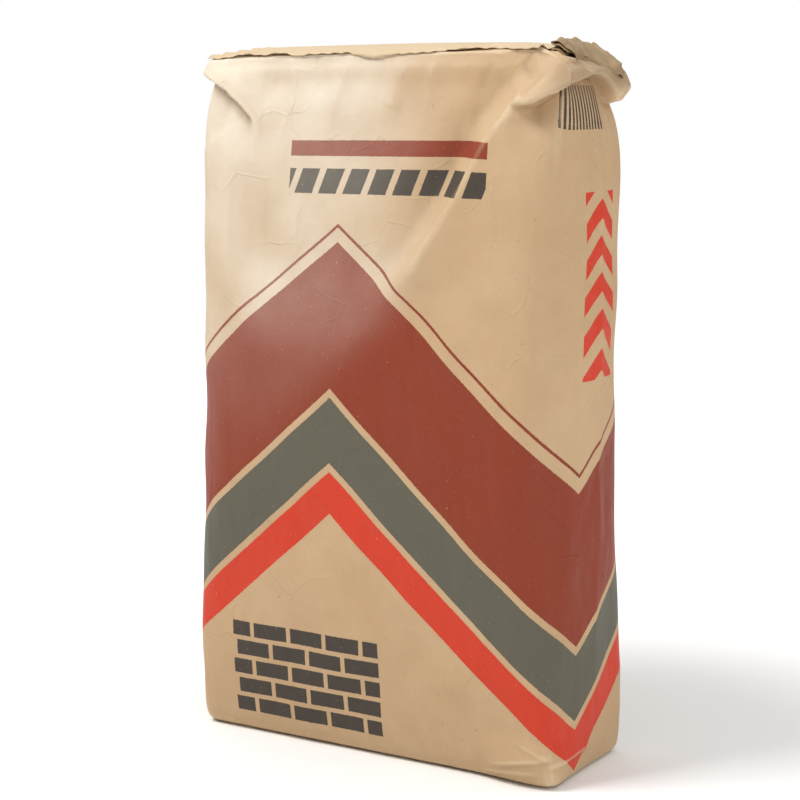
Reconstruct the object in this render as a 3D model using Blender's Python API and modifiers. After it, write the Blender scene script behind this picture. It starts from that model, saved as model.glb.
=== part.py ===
"""A filled 50 kg valve sack of kraft paper, standing upright on its folded bottom end.

X runs along the wide face, -Y is the front, +Z is up. The origin is the centre of the
bottom face, on the floor. All sizes are in metres.
"""
import math

import bmesh
import bpy

# Driving dimensions of the sack
HEIGHT = 0.633                # floor to the highest point of the top end
FLAT_WIDTH = 0.500            # the empty paper tube laid flat: half its girth
FULL_DEPTH = 0.158            # front to back at half height, where the fill swells it
BOTTOM_DEPTH = 0.130          # front to back across the folded bottom end
RIM_DEPTH = 0.096             # front to back across the slack top end
END_WIDTH = 0.374             # left to right across the folded ends
CORNER_RADIUS = 0.050         # vertical edges at half height
LEAN = 0.004                  # the middle of the sack has settled this far to -X
END_CORNER_RADIUS = 0.006     # vertical edges where the paper is folded over the ends

# Paper and gaps
WALL = 0.0005                 # the plies of the tube pressed together
GAP = 0.0003                  # air kept between touching pieces
FILL_INSET = 0.0016           # from the sack's outside to the fill
PATCH_MARGIN = 0.003          # bare paper left round a cover patch
PAPER_BOTTOM = WALL + GAP     # the tube's own ends, between the two cover patches
PAPER_TOP = HEIGHT - WALL - GAP

# The slack top: the front panel leans back and its right corner droops as an ear
RIM_RISE = 0.008              # the back rim stands higher than the front one
EAR_START = 0.105             # along X, where the top end begins to bend down
EAR_DROOP = 0.024             # how far the right end of the top has sunk
EAR_REACH = 0.080             # height of the paper that sinks with it
LIP_HEIGHT = 0.597            # the ear's end rolls outwards here
LIP_OUT = 0.013               # and stands this far past the side
LIP_SPREAD = 0.018            # half its height
NECK_HEIGHT = 0.558           # the fold under the ear
NECK_DEPTH = 0.011            # how far that fold goes in
NECK_SPREAD = 0.035           # half its height
APRON_DEPTH = 0.010           # hollow of the front panel beside the diagonal ridge
APRON_FOOT = 0.330            # height where the hollow begins
APRON_FADE = 0.100            # height over which it deepens
APRON_LEFT = 0.060            # width of the turn from the left edge into it
RIDGE_TOP = (0.125, 0.560)    # x and z where the ridge leaves the ear
RIDGE_FOOT = (-0.010, 0.360)  # x and z where it fades out
RIDGE_SOFTNESS = 0.030        # width of the turn from panel to hollow

# The valve in the right end of the top: a flattened paper sleeve, its root in a slit
SLEEVE_WIDTH = 0.084          # along Y
SLEEVE_THICKNESS = 0.0036     # several plies
SLEEVE_X = 0.175              # of the slit
SLEEVE_DEPTH = 0.010          # the root below the paper
SLEEVE_LENGTH = 0.050         # lying back over the top end
SLEEVE_LIFT = 0.0034          # its middle above the paper there
SLEEVE_RUFFLE = 0.0012        # height of its waves
SLEEVE_WAVES = 2.5            # across its width

# Grids of faces, and how they are shaded
SACK_GRID = (20, 6, 24)       # along X, along Y, along Z
ROW_CROWDING = 0.5            # 0 spaces the rows evenly, 1 crowds them most at the ends
ROOT_CELLS = 3                # of the sleeve, down in the slit
LYING_CELLS = 9               # of the sleeve, on the top end
SLEEVE_CELLS_ACROSS = 14
SHARP_ANGLE = math.radians(40)


def mix(a, b, t):
    return a + (b - a) * t


def ease(t):
    """0 below 0, 1 above 1 and a smooth turn between."""
    t = min(max(t, 0.0), 1.0)
    return t * t * (3 - 2 * t)


def section(t):
    """Half width, half depth and corner radius at the fraction t of the height."""
    swell = math.sin(math.pi * t) ** 0.5 if 0 < t < 1 else 0.0
    middle = (BOTTOM_DEPTH + RIM_DEPTH) / 2
    depth = mix(BOTTOM_DEPTH, RIM_DEPTH, t) + (FULL_DEPTH - middle) * swell
    radius = mix(END_CORNER_RADIUS, CORNER_RADIUS, swell ** 2)
    # The girth is that of the flat tube, and each rounded corner gives some width back
    full_width = FLAT_WIDTH - FULL_DEPTH + (4 - math.pi) * CORNER_RADIUS
    width = mix(END_WIDTH, full_width, swell)
    return width / 2, depth / 2, radius


def around(p, half_length, other_half, radius):
    """A point on one side of a rounded rectangle, p from -1 to 1 between its corners."""
    straight = half_length - radius
    along = abs(p) * (straight + math.pi * radius / 4)
    if along <= straight:
        return math.copysign(along, p), other_half
    angle = (along - straight) / radius
    out = straight + radius * math.sin(angle)
    return math.copysign(out, p), other_half - radius + radius * math.cos(angle)


def wall_point(p, q, t):
    """Plan position of the grid point p, q (each -1 to 1) at the fraction t of the height."""
    half_width, half_depth, radius = section(t)
    if abs(q) > 1 - 1e-6:
        x, y = around(p, half_width, half_depth, radius)
        return x, math.copysign(y, q)
    if abs(p) > 1 - 1e-6:
        y, x = around(q, half_depth, half_width, radius)
        return math.copysign(x, p), y
    return p * half_width, q * half_depth


def slacken(x, y, z, q):
    """Lean, hollow and droop that the half-empty top end gives to a point."""
    half_depth = RIM_DEPTH / 2
    top = ease((z - (HEIGHT - EAR_REACH)) / EAR_REACH)
    # Diagonal hollow of the front panel, up and left of the ridge
    run = RIDGE_TOP[0] - RIDGE_FOOT[0]
    rise = RIDGE_TOP[1] - RIDGE_FOOT[1]
    beyond = ((z - RIDGE_FOOT[1]) * run - (x - RIDGE_FOOT[0]) * rise) / math.hypot(run, rise)
    hollow = APRON_DEPTH * ease(beyond / RIDGE_SOFTNESS) * (1 - top)
    hollow *= ease((z - APRON_FOOT) / APRON_FADE) * ease((x + END_WIDTH / 2) / APRON_LEFT)
    if q < 0:
        y -= hollow * q
    # The top end slopes up to its back rim, and sinks at its right end
    ear = ease((x - EAR_START) / (END_WIDTH / 2 - EAR_START))
    z += top * (RIM_RISE * (y / half_depth - 1) / 2 - EAR_DROOP * ear)
    # The right side rolls out under the top end, and in again under the ear
    lip = math.exp(-(((z - LIP_HEIGHT) / LIP_SPREAD) ** 2))
    neck = math.exp(-(((z - NECK_HEIGHT) / NECK_SPREAD) ** 2))
    x += ear * (LIP_OUT * lip - NECK_DEPTH * neck)
    x -= LEAN * math.sin(math.pi * min(max(z / HEIGHT, 0.0), 1.0))
    return x, y, z


def add_grid_box(name, cells):
    """A cube primitive of -1 to 1 with its sides cut into cells."""
    bpy.ops.mesh.primitive_cube_add(size=2)
    obj = bpy.context.object
    obj.name = name
    bm = bmesh.new()
    bm.from_mesh(obj.data)
    for axis, count in enumerate(cells):
        along = [e for e in bm.edges if abs((e.verts[0].co - e.verts[1].co)[axis]) > 1e-6]
        bmesh.ops.subdivide_edges(bm, edges=along, cuts=count - 1, use_grid_fill=True)
    return obj, bm


def finish(obj, bm):
    bm.normal_update()
    bm.to_mesh(obj.data)
    bm.free()
    obj.data.shade_smooth()
    obj.data.set_sharp_from_angle(angle=SHARP_ANGLE)


def add_sack_form(name):
    """The closed outer surface of the filled sack, above its bottom patch."""
    obj, bm = add_grid_box(name, SACK_GRID)
    for vert in bm.verts:
        p, q, level = vert.co
        t = (level + 1) / 2
        # Rows are closer together near the folded ends
        t = mix(t, (1 - math.cos(math.pi * t)) / 2, ROW_CROWDING)
        x, y = wall_point(p, q, t)
        z = mix(PAPER_BOTTOM, PAPER_TOP, t)
        vert.co = slacken(x, y, z, q)
    finish(obj, bm)
    return obj


def make_material(name, colour, roughness):
    material = bpy.data.materials.new(name)
    material.use_nodes = True
    shader = material.node_tree.nodes["Principled BSDF"]
    shader.inputs["Base Color"].default_value = (*colour, 1.0)
    shader.inputs["Roughness"].default_value = roughness
    shader.inputs["Metallic"].default_value = 0.0
    return material


def put_in(collection, obj, material):
    for owner in list(obj.users_collection):
        owner.objects.unlink(obj)
    collection.objects.link(obj)
    obj.data.materials.clear()
    obj.data.materials.append(material)


def add_box(name, size, centre):
    bpy.ops.mesh.primitive_cube_add(size=1, location=centre)
    obj = bpy.context.object
    obj.name = name
    obj.scale = size
    bpy.ops.object.transform_apply(location=False, rotation=False, scale=True)
    return obj


def top_height(x, y):
    """Height of the top end's paper above the floor, at its place after slackening."""
    before = x
    for _ in range(12):
        before -= slacken(before, y, PAPER_TOP, 0.0)[0] - x
    return slacken(before, y, PAPER_TOP, 0.0)[2]


def add_slit_cutter(cutters):
    """The slot that the sleeve's root goes down through, with a gap on every side."""
    height = 4 * SLEEVE_DEPTH
    bottom = top_height(SLEEVE_X, 0) - SLEEVE_DEPTH - 2 * GAP
    size = (SLEEVE_THICKNESS + 2 * GAP, SLEEVE_WIDTH + 2 * GAP, height)
    slit = add_box("slit_cutter", size, (SLEEVE_X, 0, bottom + height / 2))
    put_in(cutters, slit, make_material("cutter", (0.5, 0.5, 0.5), 0.8))
    slit.hide_render = True
    slit.display_type = "WIRE"
    return slit


def cut_with(obj, cutter):
    cut = obj.modifiers.new("valve_slit", "BOOLEAN")
    cut.operation = "DIFFERENCE"
    cut.object = cutter


def make_paper_sack(collection, slit):
    """The glued tube of paper, open only at the valve's slit."""
    sack = add_sack_form("paper_sack")
    skin = sack.modifiers.new("plies", "SOLIDIFY")
    skin.thickness = WALL
    skin.offset = -1
    skin.use_even_offset = True
    cut_with(sack, slit)
    put_in(collection, sack, make_material("kraft_paper", (0.60, 0.45, 0.29), 0.55))


def make_cement_fill(collection, slit):
    """The powder, packed to the sack's inside and round the sleeve's root."""
    fill = add_sack_form("cement_fill")
    bm = bmesh.new()
    bm.from_mesh(fill.data)
    bm.normal_update()
    for vert in bm.verts:
        vert.co -= vert.normal * FILL_INSET
    finish(fill, bm)
    cut_with(fill, slit)
    put_in(collection, fill, make_material("cement_powder", (0.33, 0.33, 0.32), 0.95))


def make_bottom_patch(collection):
    """The cover sheet glued over the bottom end; the sack stands on it."""
    size = (END_WIDTH - 2 * PATCH_MARGIN, BOTTOM_DEPTH - 2 * PATCH_MARGIN, WALL)
    patch = add_box("bottom_cover_patch", size, (0, 0, WALL / 2))
    put_in(collection, patch, make_material("bottom_patch_paper", (0.58, 0.43, 0.27), 0.6))


def make_top_patch(collection):
    """The cover sheet glued over the level part of the top end."""
    left = -END_WIDTH / 2 + PATCH_MARGIN
    right = EAR_START - PATCH_MARGIN
    size = (right - left, RIM_DEPTH - 2 * PATCH_MARGIN, WALL)
    patch = add_box("top_cover_patch", size, ((left + right) / 2, 0, HEIGHT - WALL / 2))
    for vert in patch.data.vertices:
        vert.co.z += RIM_RISE * (vert.co.y / (RIM_DEPTH / 2) - 1) / 2
    put_in(collection, patch, make_material("top_patch_paper", (0.62, 0.47, 0.31), 0.6))


def sleeve_point(cell, across):
    """A point on the sleeve's middle, cell by cell from its root, across from -1 to 1."""
    y = across * SLEEVE_WIDTH / 2
    if cell == 0:
        return SLEEVE_X, y, top_height(SLEEVE_X, 0) - SLEEVE_DEPTH
    if cell <= ROOT_CELLS:
        down = (SLEEVE_LIFT + SLEEVE_DEPTH) * (1 - cell / ROOT_CELLS)
        return SLEEVE_X, y, top_height(SLEEVE_X, y) + SLEEVE_LIFT - down
    back = (cell - ROOT_CELLS) / LYING_CELLS
    x = SLEEVE_X - back * SLEEVE_LENGTH
    wave = abs(math.sin(SLEEVE_WAVES * math.pi * across))
    lift = SLEEVE_LIFT + SLEEVE_RUFFLE * ease(3 * back) * wave
    return x, y, top_height(x, y) + lift


def make_valve_sleeve(collection):
    """The flattened valve tube: its root stands in the slit, and the rest is pressed
    shut and laid back over the top end."""
    cells = ROOT_CELLS + LYING_CELLS
    bpy.ops.mesh.primitive_grid_add(
        x_subdivisions=cells, y_subdivisions=SLEEVE_CELLS_ACROSS, size=2
    )
    sleeve = bpy.context.object
    sleeve.name = "valve_sleeve"
    for vert in sleeve.data.vertices:
        cell = round((1 - vert.co.x) / 2 * cells)
        vert.co = sleeve_point(cell, vert.co.y)
    plies = sleeve.modifiers.new("plies", "SOLIDIFY")
    plies.thickness = SLEEVE_THICKNESS
    plies.offset = 0
    put_in(collection, sleeve, make_material("valve_paper", (0.36, 0.24, 0.15), 0.7))


def main():
    for obj in list(bpy.data.objects):
        bpy.data.objects.remove(obj)
    collection = bpy.data.collections.new("cement_sack")
    cutters = bpy.data.collections.new("cutters")
    bpy.context.scene.collection.children.link(collection)
    bpy.context.scene.collection.children.link(cutters)
    slit = add_slit_cutter(cutters)
    make_paper_sack(collection, slit)
    make_cement_fill(collection, slit)
    make_bottom_patch(collection)
    make_top_patch(collection)
    make_valve_sleeve(collection)


main()
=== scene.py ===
# %% [markdown]
# # A paper sack of cement, standing on its end
#
# The real sack is a tube of strong brown paper with both ends folded flat and glued.
# Fifty kilograms of powder push it out into a long cushion, and the top is a little
# slack, so its paper has folded over at two corners. This lesson dresses the plain
# solids of the model: it fills a paper tube, lets cloth simulation settle it, folds its
# top, and then prints and wears the paper with node materials.
#
# The first cell loads the plain model. Nothing in it is moved; every new piece is put
# where the model's own piece is.

# %% Load the plain model
import math

import bmesh
import bpy
import numpy as np
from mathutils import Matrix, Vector
from mathutils.bvhtree import BVHTree


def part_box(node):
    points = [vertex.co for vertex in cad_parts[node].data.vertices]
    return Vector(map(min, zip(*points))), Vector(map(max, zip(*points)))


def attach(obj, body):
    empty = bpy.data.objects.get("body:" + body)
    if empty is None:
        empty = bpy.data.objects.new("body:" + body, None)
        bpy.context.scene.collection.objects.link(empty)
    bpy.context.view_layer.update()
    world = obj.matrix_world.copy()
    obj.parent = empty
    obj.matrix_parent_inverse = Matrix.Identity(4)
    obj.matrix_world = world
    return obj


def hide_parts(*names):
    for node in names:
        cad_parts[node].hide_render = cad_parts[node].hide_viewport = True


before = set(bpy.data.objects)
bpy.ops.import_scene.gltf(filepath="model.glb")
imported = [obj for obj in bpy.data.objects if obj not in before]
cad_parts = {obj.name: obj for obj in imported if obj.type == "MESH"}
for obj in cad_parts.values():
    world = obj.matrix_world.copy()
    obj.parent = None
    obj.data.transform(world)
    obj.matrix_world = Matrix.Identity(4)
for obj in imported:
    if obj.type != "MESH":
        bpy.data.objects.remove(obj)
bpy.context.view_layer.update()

bpy.ops.object.select_all(action="DESELECT")
sack_low, sack_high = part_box("paper_sack")
print("plain sack:", [round(v, 3) for v in sack_low], "to", [round(v, 3) for v in sack_high])

# %% [markdown]
# ## The camera
#
# The picture was taken with a long lens, a little above the sack's top, from the right
# of its front panel. A camera can be aimed with a constraint, but a rotation worked out
# from two points stays in the file as plain numbers. So the place is given as a bearing,
# a distance and a height, and `to_track_quat` turns the camera to the point it looks at.

# %% Place the camera
CAMERA_BEARING = math.radians(31.43)
CAMERA_DISTANCE = 1.972
CAMERA_HEIGHT = 0.6496
AIM_ACROSS = -0.0078
AIM_HEIGHT = 0.3164
LENS = 99.0


def add_camera():
    data = bpy.data.cameras.new("camera")
    data.lens = LENS
    data.sensor_width = 36
    camera = bpy.data.objects.new("camera", data)
    bpy.context.scene.collection.objects.link(camera)
    sine, cosine = math.sin(CAMERA_BEARING), math.cos(CAMERA_BEARING)
    camera.location = (sine * CAMERA_DISTANCE, -cosine * CAMERA_DISTANCE, CAMERA_HEIGHT)
    aim = Vector((cosine * AIM_ACROSS, sine * AIM_ACROSS, AIM_HEIGHT))
    camera.rotation_euler = (aim - camera.location).to_track_quat("-Z", "Y").to_euler()
    return camera


bpy.context.scene.camera = add_camera()
print("camera at", [round(v, 3) for v in bpy.context.scene.camera.location])

# %% [markdown]
# ## The paper tube
#
# Before it is filled, the sack is a box of paper: a tube with four folds and two flat
# ends. Its length is longer than the standing sack is tall, and that spare length is
# what folds over at the top. The box starts as a cube primitive, and each direction is
# cut into a grid, so that the paper can bend anywhere.
#
# Each point also keeps where it was on this flat paper, in an attribute named `flat`.
# Subdividing carries the attribute along, so every later step can ask where on the
# paper a point lies, whatever shape the sack has by then.

# %% Measure the tube
TUBE_WIDTH = 0.374
TUBE_DEPTH = 0.130
TUBE_LENGTH = 0.650
CELL = 0.0136
GIRTH = 2 * (TUBE_WIDTH + TUBE_DEPTH)
HALF_WIDTH, HALF_DEPTH = TUBE_WIDTH / 2, TUBE_DEPTH / 2
ON_WALL, ON_FACE = 1e-5, 1e-4  # a point, or the middle of a face, this near a wall is on it
print("paper:", round(GIRTH, 3), "m round and", TUBE_LENGTH, "m long")

# %% Fold the tube
def cut_chosen(piece, kind, chosen, cuts):
    """Subdivides the edges or faces for which the test `chosen` holds."""
    bpy.ops.object.mode_set(mode="EDIT")
    bpy.ops.mesh.select_mode(type=kind)
    bpy.ops.mesh.select_all(action="DESELECT")
    bm = bmesh.from_edit_mesh(piece.data)
    for item in bm.edges if kind == "EDGE" else bm.faces:
        item.select_set(chosen(item))
    bm.select_flush_mode()
    bmesh.update_edit_mesh(piece.data)
    bpy.ops.mesh.subdivide(number_cuts=cuts)
    bpy.ops.object.mode_set(mode="OBJECT")


def runs_along(edge, axis):
    run = edge.verts[0].co - edge.verts[1].co
    return abs(run[axis]) > 0.9 * run.length


def add_paper_tube(name):
    size = (TUBE_WIDTH, TUBE_DEPTH, TUBE_LENGTH)
    bpy.ops.mesh.primitive_cube_add(size=1, location=(0, 0, TUBE_LENGTH / 2), scale=size)
    tube = bpy.context.object
    tube.name = name
    bpy.ops.object.transform_apply(location=True, rotation=False, scale=True)
    for axis, length in enumerate(size):
        cells = round(length / CELL)
        cut_chosen(tube, "EDGE", lambda edge: runs_along(edge, axis), cells - 1)
    return tube


sack = add_paper_tube("paper_sack_printed")
print("paper tube:", len(sack.data.vertices), "points")

# %% Note where each point lies on the flat paper
def read_values(items, name, width=3, kind=float):
    """One row of numbers for each point, edge or normal of a mesh."""
    found = np.empty(len(items) * width, kind)
    items.foreach_get(name, found)
    return found.reshape(-1, width)


def get_points(mesh):
    return read_values(mesh.vertices, "co")


def set_points(mesh, points):
    mesh.vertices.foreach_set("co", points.astype(np.float32).ravel())
    mesh.update()


flat_points = get_points(sack.data)
flat_layer = sack.data.attributes.new("flat", "FLOAT_VECTOR", "POINT")
flat_layer.data.foreach_set("vector", flat_points.astype(np.float32).ravel())
print("flat paper: from", flat_points.min(0), "to", flat_points.max(0))

# %% [markdown]
# ## The filled form
#
# Filling bends paper but does not stretch it. At each height the section is a rectangle
# with round corners, and its girth stays the same all the way up: where the powder makes
# the sack deeper, it gets narrower. `around` walks along such a section from the middle
# of a side. The ends keep the tube's own sharp corners, and between them the sack swells
# as the square root of a sine, which is steep at the ends and even in the middle.
#
# Two small functions shape nearly everything from here on: `ramp` goes from 0 to 1
# between two limits without a corner, and `hump` is 1 at a line and fades beside it.

# %% Make ramps and humps
def ease(t):
    t = np.clip(t, 0, 1)
    return t * t * (3 - 2 * t)


def ramp(value, start, full):
    """0 at the start and 1 at full, eased between; full may be the lower one."""
    return ease((value - start) / (full - start))


def hump(distance, width):
    return np.exp(-((distance / width) ** 2))


print("half way up, a ramp is at", ramp(0.5, 0, 1))
print("one width away, a hump is at", round(float(hump(1, 1)), 2))

# %% Work out the filled form
FLAT_WIDTH = 0.500  # of the empty tube, pressed flat
FULL_DEPTH = 0.158
RIM_DEPTH = 0.096
CORNER_RADIUS = 0.050
END_RADIUS = 0.004
LEAN = 0.004  # the sack's middle hangs this far to the left
SLACK_START = 0.40  # above it the paper is longer than the sack is tall
# Places across the top, and how high its front and back edges stand there.
RIM_PLACES = (-0.187, -0.100, 0.000, 0.100, 0.149, 0.163, 0.175, 0.187)
FRONT_RIM = (0.6235, 0.6260, 0.6295, 0.6330, 0.6320, 0.6305, 0.6275, 0.6190)
BACK_RIM = (0.6310, 0.6335, 0.6360, 0.6370, 0.6350, 0.6310, 0.6240, 0.6160)
FULL_WIDTH = FLAT_WIDTH - FULL_DEPTH + (4 - math.pi) * CORNER_RADIUS


def around(share, half, other_half, radius):
    """Along and across places on a section's side; share is -1 to 1 along the side."""
    straight = half - radius
    length = np.abs(share) * (straight + math.pi * radius / 4)
    turn = np.clip((length - straight) / radius, 0, None)
    bent = length > straight
    along = np.where(bent, straight + radius * np.sin(turn), length)
    across = np.where(bent, other_half - radius + radius * np.cos(turn), other_half)
    return np.sign(share) * along, across


def on_walls(flat):
    """Which points lie on the long walls (front and back) and on the narrow ones."""
    return np.abs(flat[:, 1]) > HALF_DEPTH - ON_WALL, np.abs(flat[:, 0]) > HALF_WIDTH - ON_WALL


def rim_height(flat):
    """How high the top end stands: lower at the left, and drooping to the right."""
    front = np.interp(flat[:, 0], RIM_PLACES, FRONT_RIM)
    back = np.interp(flat[:, 0], RIM_PLACES, BACK_RIM)
    share = (flat[:, 1] / HALF_DEPTH + 1) / 2
    return front + (back - front) * share


def filled_form(flat):
    p, q = flat[:, 0] / HALF_WIDTH, flat[:, 1] / HALF_DEPTH
    t = flat[:, 2] / TUBE_LENGTH
    swell = np.sqrt(np.clip(np.sin(math.pi * t), 0, 1))
    end_depth = TUBE_DEPTH + (RIM_DEPTH - TUBE_DEPTH) * t
    half_depth = (end_depth + (FULL_DEPTH - (TUBE_DEPTH + RIM_DEPTH) / 2) * swell) / 2
    half_width = (TUBE_WIDTH + (FULL_WIDTH - TUBE_WIDTH) * swell) / 2
    radius = END_RADIUS + (CORNER_RADIUS - END_RADIUS) * swell**2
    long_wall, narrow_wall = on_walls(flat)
    long_x, long_y = around(p, half_width, half_depth, radius)
    narrow_y, narrow_x = around(q, half_depth, half_width, radius)
    x = np.where(narrow_wall, np.sign(p) * narrow_x, p * half_width)
    x = np.where(long_wall, long_x, x)
    y = np.where(narrow_wall, narrow_y, q * half_depth)
    y = np.where(long_wall, np.sign(q) * long_y, y)
    z = flat[:, 2]
    slack = (z - SLACK_START) * (rim_height(flat) - SLACK_START) / (TUBE_LENGTH - SLACK_START)
    z = np.where(z > SLACK_START, SLACK_START + slack, z)
    x = x - LEAN * np.sin(math.pi * np.clip(z / sack_high.z, 0, 1))
    return np.stack([x, y, z], 1)


form = filled_form(flat_points)
print("filled form:", np.round(form.min(0), 3), "to", np.round(form.max(0), 3))

# %% [markdown]
# ## Settling the paper
#
# A formula alone looks like a moulded shell. Cloth simulation makes it paper: the sheet
# keeps its own lengths, so where the form has less room than the paper, it must buckle
# into soft dents. Here the flat box is the rest shape, a shape key pushes it to the
# filled form, and each point is tied to that form by a weight: firmly where the sack
# stands and at the folds of its rim, and loosely elsewhere. Pressure inside stands for
# the powder. The result is applied, so the piece is a plain mesh afterwards.

# %% Choose how firmly the paper is held
WALL_HOLD, TOP_HOLD, RIM_HOLD = 0.10, 0.04, 0.8
TOP_LOOSENS = (0.44, 0.52)
FOOT_MARGIN = 0.012  # the bottom stands flat up to this far from its edges


def hold_weights(flat):
    """How firmly each point of the paper is tied to the filled form."""
    long_wall, _ = on_walls(flat)
    z = flat[:, 2]
    weight = WALL_HOLD + (TOP_HOLD - WALL_HOLD) * ramp(z, *TOP_LOOSENS)
    weight[(z > TUBE_LENGTH - ON_WALL) & long_wall] = RIM_HOLD
    x_inside = np.abs(flat[:, 0]) < HALF_WIDTH - FOOT_MARGIN
    y_inside = np.abs(flat[:, 1]) < HALF_DEPTH - FOOT_MARGIN
    weight[(z < ON_WALL) & x_inside & y_inside] = 1
    return weight


hold = hold_weights(flat_points)
print("held:", (hold == 1).sum(), "points of the foot and", (hold == RIM_HOLD).sum(), "of the rim")

# %% Settle the paper
SETTLE_FRAMES = 24
POWDER_PRESSURE = 0.35
PAPER_STRETCH = 80
PAPER_BEND = 2.0


def settle(piece, form, weights):
    """Runs the cloth from the flat paper to the filled form, and applies it."""
    piece.shape_key_add(name="flat paper")
    filled = piece.shape_key_add(name="filled")
    filled.data.foreach_set("co", form.astype(np.float32).ravel())
    filled.value = 1
    group = piece.vertex_groups.new(name="hold")
    for index, weight in enumerate(weights):
        group.add([index], float(weight), "REPLACE")
    cloth = piece.modifiers.new("settle", "CLOTH")
    paper = cloth.settings
    paper.quality = 6
    paper.mass = 0.001
    paper.tension_stiffness = paper.compression_stiffness = PAPER_STRETCH
    paper.shear_stiffness = PAPER_STRETCH / 2
    paper.bending_stiffness = PAPER_BEND
    paper.air_damping = 1
    paper.vertex_group_mass = "hold"
    paper.pin_stiffness = 1
    paper.rest_shape_key = piece.data.shape_keys.key_blocks["flat paper"]
    paper.use_pressure = True
    paper.uniform_pressure_force = POWDER_PRESSURE
    paper.effector_weights.gravity = 0
    cloth.point_cache.frame_end = SETTLE_FRAMES
    for frame_number in range(1, SETTLE_FRAMES + 1):
        bpy.context.scene.frame_set(frame_number)
    settled = piece.evaluated_get(bpy.context.evaluated_depsgraph_get())
    mesh = bpy.data.meshes.new_from_object(settled)
    piece.modifiers.clear()
    piece.shape_key_clear()
    piece.vertex_groups.clear()
    piece.data = mesh
    bpy.context.scene.frame_set(1)


settle(sack, form, hold)
moved = np.abs(get_points(sack.data) - form).max()
print("settled: moved up to", round(float(moved) * 1000, 1), "mm")

# %% [markdown]
# ## A finer sheet
#
# Simulation is quick on large cells, but folds need small ones. Subdivision rounds the
# sheet off, once before and once after the most folded places are cut finer in edit mode.
# Those are the top few centimetres, but for the level part that a cover sheet will hide,
# and the right end of the foot.

# %% Refine the sheet
FOLDED_FROM = 0.572
COVERED_LEFT, COVERED_RIGHT, COVERED_DEPTH = -0.170, 0.110, 0.040
FOOT, FOOT_FROM = (0.002, 0.045), 0.090


def apply_modifiers(piece):
    bpy.ops.object.select_all(action="DESELECT")
    bpy.context.view_layer.objects.active = piece
    piece.select_set(True)
    for modifier in list(piece.modifiers):
        bpy.ops.object.modifier_apply(modifier=modifier.name)


def subdivide_smooth(piece):
    rounding = piece.modifiers.new("round off", "SUBSURF")
    rounding.levels = rounding.render_levels = 1
    apply_modifiers(piece)


def much_folded(face):
    middle = face.calc_center_median()
    covered = COVERED_LEFT <= middle.x <= COVERED_RIGHT and abs(middle.y) <= COVERED_DEPTH
    foot = FOOT[0] < middle.z < FOOT[1] and middle.x > FOOT_FROM
    return foot or (middle.z > FOLDED_FROM and not covered)


subdivide_smooth(sack)
cut_chosen(sack, "FACE", much_folded, 1)
subdivide_smooth(sack)
triangles = sum(len(face.vertices) - 2 for face in sack.data.polygons)
print("finer sheet:", len(sack.data.vertices), "points,", triangles, "triangles")

# %% [markdown]
# ## The big folds of the slack top
#
# The top has three big folds. At the left corner the paper hangs over itself in a short
# lip. At the right it rolls over the side in a thick lip, like an ear, where the filling
# valve was pulled. Between them the front leans back as a flat apron, and a sharp ridge
# runs from the ear down and inwards until it fades.
#
# Each fold follows a line drawn on the paper: across the front and then round the
# corner along the side. The distance to that line says how far a point moves out, in or
# down. Sculpting by hand gives the same shapes, but a line can be moved and read.

# %% Draw the fold lines on the paper
# Each place on a line is how far round the tube it lies, and how high.
RIDGE_LINE = (
    (0.150, 0.592), (0.125, 0.560), (0.100, 0.515), (0.078, 0.478), (0.050, 0.436), (0.020, 0.405),
)
LIP_LINE = (
    (-0.215, 0.620), (-0.190, 0.612), (-0.168, 0.602), (-0.155, 0.595), (-0.140, 0.583),
    (-0.130, 0.570), (-0.127, 0.552), (-0.123, 0.515), (-0.120, 0.470), (-0.119, 0.430),
)
EAR_LINE = (
    (0.130, 0.583), (0.145, 0.587), (0.160, 0.589), (0.173, 0.597), (0.190, 0.606), (0.206, 0.610),
    (0.222, 0.613), (0.240, 0.6135), (0.256, 0.610), (0.267, 0.603), (0.275, 0.594), (0.287, 0.588),
    (0.310, 0.587), (0.335, 0.592), (0.360, 0.600),
)
print("fold lines:", [len(line) for line in (RIDGE_LINE, LIP_LINE, EAR_LINE)], "places")

# %% Measure from the lines, and find which way is out
CORNER_ALONG, CORNER_ACROSS = 0.035, 0.030  # how much of a wall turns with the corner


def girth_place(flat):
    """How far round the tube a wall point is: 0 at the front's middle, + to the right."""
    x, y = flat[:, 0], flat[:, 1]
    long_wall, narrow_wall = on_walls(flat)
    place = np.where(long_wall & (y < 0), x, 0.0)
    side = HALF_WIDTH + (y + HALF_DEPTH)
    back = HALF_WIDTH + TUBE_DEPTH + (HALF_WIDTH - x)
    place = np.where(long_wall & (y > 0), back, place)
    narrow = narrow_wall & ~long_wall
    place = np.where(narrow & (x > 0), side, place)
    return np.where(narrow & (x < 0), -side, place)


def to_line(s, z, line):
    """Signed distance to a drawn line, + on its left, and how far along it, 0 to 1."""
    lengths = [math.dist(a, b) for a, b in zip(line, line[1:])]
    nearest = np.full(s.shape, np.inf)
    sign = np.zeros(s.shape)
    place = np.zeros(s.shape)
    passed = 0.0
    for (start, end), length in zip(zip(line, line[1:]), lengths):
        run, rise = end[0] - start[0], end[1] - start[1]
        along = np.clip(((s - start[0]) * run + (z - start[1]) * rise) / length**2, 0, 1)
        off_s = s - start[0] - along * run
        off_z = z - start[1] - along * rise
        distance = np.hypot(off_s, off_z)
        closer = distance < nearest
        nearest = np.where(closer, distance, nearest)
        sign = np.where(closer, np.sign(run * off_z - rise * off_s), sign)
        place = np.where(closer, (passed + along * length) / sum(lengths), place)
        passed += length
    return nearest * sign, place


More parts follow.
